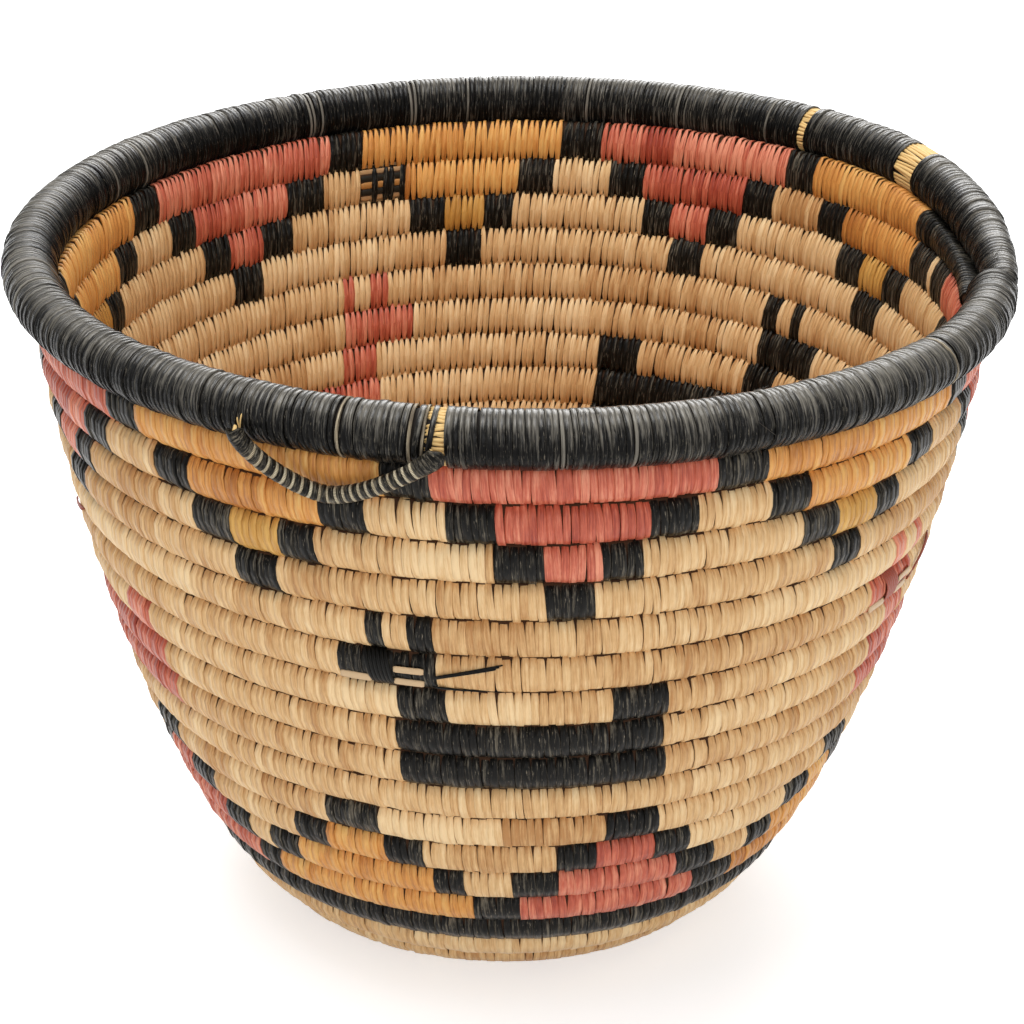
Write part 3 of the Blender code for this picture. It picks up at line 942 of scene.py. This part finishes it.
def makeRimGrass():
    mesh = bmesh.new()

    def place(share, turn):
        return rimPoints(between(rimFirst, rimLast, share), turn, rimGrass["inset"])

    def addStalk(centres, radius, length):
        stalk = tubeAlong(centres, radius)
        cells = rimGrass["stalkSamples"] - 1
        addTube(mesh, cells, rimGrass["stalkSides"], stalk, length, rimGrass["stalkGirth"], 1)

    addTube(mesh, rimGrass["cells"], rimGrass["sides"], place, fullTurn * wall["topRadius"],
            math.pi * max(rim["thicknesses"]))
    draw = np.random.default_rng(rimGrass["seed"])
    over = turnsFor(rimGrass["stalkOver"], rimFirst)
    shift, samples = rimGrass["stalkShift"], rimGrass["stalkSamples"]
    for low, high in rimBares():
        for stalk in range(rimGrass["stalks"]):
            turn = fullTurn * (stalk + draw.uniform(-shift, shift)) / rimGrass["stalks"]
            radius = draw.uniform(*rimGrass["stalkRadius"]) * mm
            depth = draw.uniform(*rimGrass["stalkDepth"]) * mm + radius
            span = np.linspace(low - over, high + over, samples)
            twist = turn + draw.normal(0.0, rimGrass["stalkTwist"]) * np.linspace(-1.0, 1.0, samples)
            addStalk(rimPoints(span, twist, depth), radius, high - low)
    share = shares(samples)
    for degrees, side in ((loop["leftAngle"], "left"), (rim["slotAngle"], "right")):
        for drift, low, high in rimGrass[side + "Straws"]:
            turns = topTurns(degrees) + drift / 360.0 * share
            centres = rimPoints(turns, between(low, high, share), -rimGrass["strawLift"])
            addStalk(centres, rimGrass["strawRadius"], rimGrass["strawLength"])
    # The bundle under the wraps is coloured in deeper painted shade, and the bare stalks and straws are
    # bright.
    materials = (grasses["deepShaded"], grasses["bright"])
    finishTubes("rimGrass", mesh, "basket", ("rim_bundle",), materials)
    print("rim grass")


makeRimGrass()

# A few thin fibres stand off the rim, most of them where its tail meets its start.
fibres = {
    "radius": 0.07 * mm,
    "sides": 5,
    "samples": 9,
    "joint": 14, "jointSpread": 2.5,
    "around": 12,
    "longest": 2.2,
    "lift": 1.0 * mm, "liftShares": (0.2, 1.0),
    "startTurns": (-0.6, 2.6),
    "curl": 0.7,
    "length": 1.0,
    "girth": 0.2,
    "tone": 0.0,
    "seed": 41,
}


def makeFibres():
    draw = np.random.default_rng(fibres["seed"])
    mesh = bmesh.new()
    joint = wall["endAngle"] + 360.0 + draw.normal(0.0, fibres["jointSpread"], fibres["joint"])
    places = np.concatenate([joint, draw.uniform(0.0, 360.0, fibres["around"])])
    share = shares(fibres["samples"])
    curl = fibres["curl"]
    for degrees in places:
        span = draw.uniform(-1.0, 1.0) * fibres["longest"] / 360.0
        turns = topTurns(degrees) + span * share
        around = draw.uniform(*fibres["startTurns"]) + draw.uniform(-curl, curl) * share
        lift = draw.uniform(*fibres["liftShares"]) * fibres["lift"] * share ** 2 + fibres["radius"]
        fibre = tubeAlong(rimPoints(turns, around, -lift), fibres["radius"])
        addTube(mesh, fibres["samples"] - 1, fibres["sides"], fibre, fibres["length"], fibres["girth"])
    materials = (leaves["cream"],)
    finishTubes("rimFibres", mesh, "basket", materials=materials, tone=fibres["tone"])
    print(f"fibres: {len(places)}")


makeFibres()


def loopLine():
    ends = []
    for degrees in (loop["leftAngle"], rim["slotAngle"]):
        turns = topTurns(degrees)
        thickness, seat = rimSize(turns)
        core = loop["coreThickness"] / 2 / math.cos(math.pi / loop["coreSides"])
        ends.append((turns, seat, rim["overhang"] + thickness / 2 + core + loop["seatGap"]))
    (left, leftAlong, leftOut), (right, rightAlong, rightOut) = ends
    resting = wallHalf + loop["thickness"] / 2 + loop["seatGap"]
    share = (1.0 - np.cos(math.pi * shares(loop["lineSamples"]))) / 2
    sag = np.clip(1.0 - np.abs(2.0 * share ** loop["skew"] - 1.0) ** loop["sagPower"], 0.0, 1.0)
    along = between(leftAlong, rightAlong, share) - loop["drop"] * sag
    out = between(between(leftOut, rightOut, share), resting, sag) + 4 * loop["bow"] * (np.sqrt(sag) - sag)
    return wallPoints(between(left, right, share), along, out)


def evenlySpaced(points, count):
    steps = np.linalg.norm(np.diff(points, axis=0), axis=1)
    length = np.concatenate([[0.0], np.cumsum(steps)])
    return alongLine(points, shares(count) * length[-1], length), length[-1]


def makeLoop():
    draw = np.random.default_rng(loop["seed"])
    line, length = evenlySpaced(loopLine(), loop["evenSamples"])
    count = int((length - loop["leftEnd"] - loop["rightEnd"]) / loop["spacing"])
    middles = (loop["leftEnd"] + (np.arange(count) + 0.5) * loop["spacing"]) / length
    bands = bandCopies(bandTemplate(loop["stations"]), count)
    index, around, top = bands["index"], bands["around"], bands["top"]
    cream = np.arange(count) % 2 == 1
    cream[:loop["darkEnds"]] = False
    cream[-loop["darkEnds"]:] = False
    kinds = np.where(cream, kindNumber("woven"), kindNumber("black"))
    inset = np.where(top, np.where(cream, loop["creamInset"], 0.0)[index], loop["depth"])
    half = np.where(cream, loop["creamWidth"], loop["darkWidth"]) * loop["spacing"]
    half = half * draw.normal(1.0, loop["widthSpread"], count)
    slant = loop["slantShare"] * loop["spacing"] * np.sin(around)
    width = bands["side"] * half[index] * np.where(top, loop["topShare"], 1.0) + slant
    share = middles[index] + width / length
    centre = alongLine(line, share, shares(len(line)))
    unit = tubeAlong(line, 1.0, ends=1.0)(share, around) - centre
    swell = 1.0 + loop["collarSwell"] * np.exp(-((1.0 - share) * length / loop["collarReach"]) ** 2)
    points = centre + unit * (loop["thickness"] / 2 * swell - inset)[:, None]
    creamTones = draw.normal(*loop["creamTone"], count)
    darkTones = draw.normal(*loop["darkTone"], count)
    data = shapeBands(bands, points, np.where(cream, creamTones, darkTones), kinds)
    finishPiece("loopWraps", data, "hanging_loop", ("loop_binding",))
    mesh = bmesh.new()
    bundle = tubeAlong(line, loop["coreThickness"] / 2)
    addTube(mesh, loop["grassCells"], loop["grassSides"], bundle, length, math.pi * loop["coreThickness"])
    finishTubes("loopGrass", mesh, "hanging_loop", ("loop_bundle",), (grasses["bright"],))
    print(f"hanging loop: {count} wraps")


makeLoop()

# Strips laid over the animals' heads: a nose strip, two eye strips, slanted wraps and two loose horns. Two
# numbers give a place: the degrees ahead of the animal's middle and the angle round the row.
heads = {
    "row": 6,
    "strips": (((20.1, -24), (16.2, -24), 2.4 * mm), ((13.4, 12), (9.8, 12), 2.2 * mm),
               ((13.4, -21), (9.8, -23), 2.2 * mm)),
    "stripLift": 0.45 * mm, "stripThickness": 0.5 * mm, "stripEnds": 0.8,
    "wraps": 6,
    "wrapFrom": 16.3, "wrapTo": 13.8, "wrapLean": 1.9, "wrapTop": 75, "wrapBottom": -80,
    "wrapWidth": 1.3 * mm, "wrapLift": 0.65 * mm,
    "horns": (((8.5, 2), (1.0, 40), 0.6 * mm), ((8.5, -30), (0.8, -66), 0.55 * mm)),
    "hornFibres": 3, "hornStartSpread": 2, "hornEndSpread": (-0.4, 6), "hornLift": 0.8 * mm,
    "cells": 12,
    "sides": 8,
}


def surfaceLine(row, start, end, lift):
    share = shares(heads["cells"])
    turns = topTurns(between(start[0], end[0], share)) - (row - 1)
    around = np.radians(between(start[1], end[1], share))
    out = (wallHalf + lift) * squared(np.cos(around), stitch["squareness"])
    return coilPoints(turns, pitchHalf * squared(np.sin(around), stitch["squareness"]), out)


def addStrip(mesh, line, width, thickness, number, material=0):
    strip = tubeAlong(line, width / 2, thickness / width, heads["stripEnds"])
    addTube(mesh, heads["cells"], heads["sides"], strip, 1.0, number, material, flat=True)


# Every strip of one head: the leaf that it is made of, its two ends, its width, lift and thickness.
def headStrips(colour):
    strips = [("natural", start, end, width, heads["stripLift"], heads["stripThickness"])
              for start, end, width in heads["strips"]]
    for wrap in range(heads["wraps"]):
        middle = between(heads["wrapFrom"], heads["wrapTo"], wrap / (heads["wraps"] - 1))
        start = (middle + heads["wrapLean"] / 2, heads["wrapTop"])
        end = (middle - heads["wrapLean"] / 2, heads["wrapBottom"])
        strips.append((colour, start, end, heads["wrapWidth"], heads["wrapLift"], heads["stripThickness"]))
    for start, end, width in heads["horns"]:
        for fibre in range(heads["hornFibres"]):
            spread = fibre - (heads["hornFibres"] - 1) / 2
            first = (start[0], start[1] + heads["hornStartSpread"] * spread)
            last = (end[0] + heads["hornEndSpread"][0] * spread, end[1] + heads["hornEndSpread"][1] * spread)
            strips.append((colour, first, last, width, heads["hornLift"], width))
    return strips


def makeHeads():
    for number, colour in enumerate(pattern["animalColours"]):
        meshes = {"natural": bmesh.new(), colour: bmesh.new()}
        ahead = pattern["animalStep"] * number
        ahead -= np.interp(ahead, *pattern["drift"])
        for strip, (kind, start, end, width, lift, thickness) in enumerate(headStrips(colour), 1):
            line = surfaceLine(heads["row"], (start[0] + ahead, start[1]), (end[0] + ahead, end[1]), lift)
            addStrip(meshes[kind], line, width, thickness, strip)
        # The natural strips take the paler strip leaf, which is partly painted light.
        for kind, leaf in (("natural", "strip"), (colour, colour)):
            name = f"{kind}Strips{number + 1}"
            finishTubes(name, meshes[kind], "basket", materials=(leaves[leaf],))
    print("strips on the animals' heads")


makeHeads()

# Where a splint was joined inside the back wall, the bundle's strips lie bare behind the wraps. Two numbers
# describe a strip: its angle round the row and its leaf's place in the list of leaves.
splice = {
    "row": 2,
    "from": 156.6,
    "to": 163.4,
    "lift": -0.75 * mm,
    "width": 2.6 * mm,
    "thickness": 0.7 * mm,
    "leaves": ("natural", "black", "ochre"),
    "strips": ((118, 0), (142, 0), (164, 1), (181, 2), (200, 1), (222, 0), (244, 0)),
    "tone": 0.6,
}


def makeSplice():
    mesh = bmesh.new()
    for number, (around, material) in enumerate(splice["strips"]):
        line = surfaceLine(splice["row"], (splice["from"], around), (splice["to"], around), splice["lift"])
        addStrip(mesh, line, splice["width"], splice["thickness"], number, material)
    materials = [leaves[kind] for kind in splice["leaves"]]
    finishTubes("spliceStrips", mesh, "basket", materials=materials, tone=splice["tone"])
    print("splice inside the back wall")


makeSplice()

# Floor, light and camera. The floor and the world glow white for the camera alone, and light the object less.
studio = {
    "floorSize": 6.0, "floorColour": (0.8, 0.8, 0.8), "floorRoughness": 0.9, "floorGlow": 0.55,
    "worldStrength": 0.5,
    "lamps": {
        "top": {"power": 22.5, "size": 1.1, "place": (-0.25, -0.25, 1.9)},
        "key": {"power": 9.9, "size": 1.2, "place": (0.4, -1.95, 0.8)},
        "back": {"power": 44.0, "size": 1.8, "place": (0.3, 2.2, 1.5)},
    },
    "cameraTarget": (0.1 * mm, 0.0, 135.7 * mm), "cameraDistance": 0.9,
    "cameraElevation": math.radians(25.0), "cameraRoll": 0.004,
    "focalPixels": 2607.0, "imagePixels": 1024.0,
    "sensor": 36.0,
}


def makeFloor():
    mesh = bmesh.new()
    bmesh.ops.create_grid(mesh, x_segments=1, y_segments=1, size=studio["floorSize"] / 2)
    data = meshData("floor", mesh)
    nodes = Nodes(bpy.data.materials.new("paleFloor"))
    nodes.shade("Base Color", (*studio["floorColour"], 1.0))
    nodes.shade("Roughness", studio["floorRoughness"])
    rays = nodes.add("ShaderNodeLightPath").outputs
    seen = nodes.maths("MAXIMUM", rays["Is Camera Ray"], rays["Is Glossy Ray"])
    seen = nodes.maths("MAXIMUM", seen, rays["Is Transmission Ray"])
    nodes.shade("Emission Color", (1.0, 1.0, 1.0, 1.0))
    nodes.shade("Emission Strength", nodes.times(seen, studio["floorGlow"]))
    data.materials.append(nodes.owner)
    addObject("floor", data)
    print("floor")


def makeWorld():
    world = bpy.data.worlds.new("studioWorld")
    bpy.context.scene.world = world
    nodes = Nodes(world, "Background")
    rays = nodes.add("ShaderNodeLightPath").outputs
    seen = nodes.maths("MAXIMUM", rays["Is Camera Ray"], rays["Is Transmission Ray"])
    glow = nodes.times(seen, 1.0 - studio["worldStrength"])
    nodes.shade("Color", (1.0, 1.0, 1.0, 1.0))
    nodes.shade("Strength", nodes.maths("ADD", glow, studio["worldStrength"]))
    print("world")


def makeLamps():
    for name, values in studio["lamps"].items():
        lamp = bpy.data.lights.new(name + "Lamp", "AREA")
        lamp.energy = values["power"]
        lamp.size = values["size"]
        added = addObject(lamp.name, lamp)
        added.location = values["place"]
        added.rotation_mode = "QUATERNION"
        aim = Vector(studio["cameraTarget"]) - added.location
        added.rotation_quaternion = aim.to_track_quat("-Z", "Y")
    print("lamps")


def makeCamera():
    lens = bpy.data.cameras.new("camera")
    lens.sensor_width = studio["sensor"]
    lens.lens = studio["focalPixels"] / studio["imagePixels"] * studio["sensor"]
    camera = addObject("camera", lens)
    rise = studio["cameraElevation"]
    away = Vector((0.0, -math.cos(rise), math.sin(rise))) * studio["cameraDistance"]
    turn = Matrix.Rotation(math.pi / 2 - rise, 4, "X") @ Matrix.Rotation(studio["cameraRoll"], 4, "Z")
    camera.matrix_world = Matrix.Translation(Vector(studio["cameraTarget"]) + away) @ turn
    bpy.context.scene.camera = camera
    print("camera")


makeFloor()
makeWorld()
makeLamps()
makeCamera()
bpy.context.scene.view_settings.view_transform = "Standard"
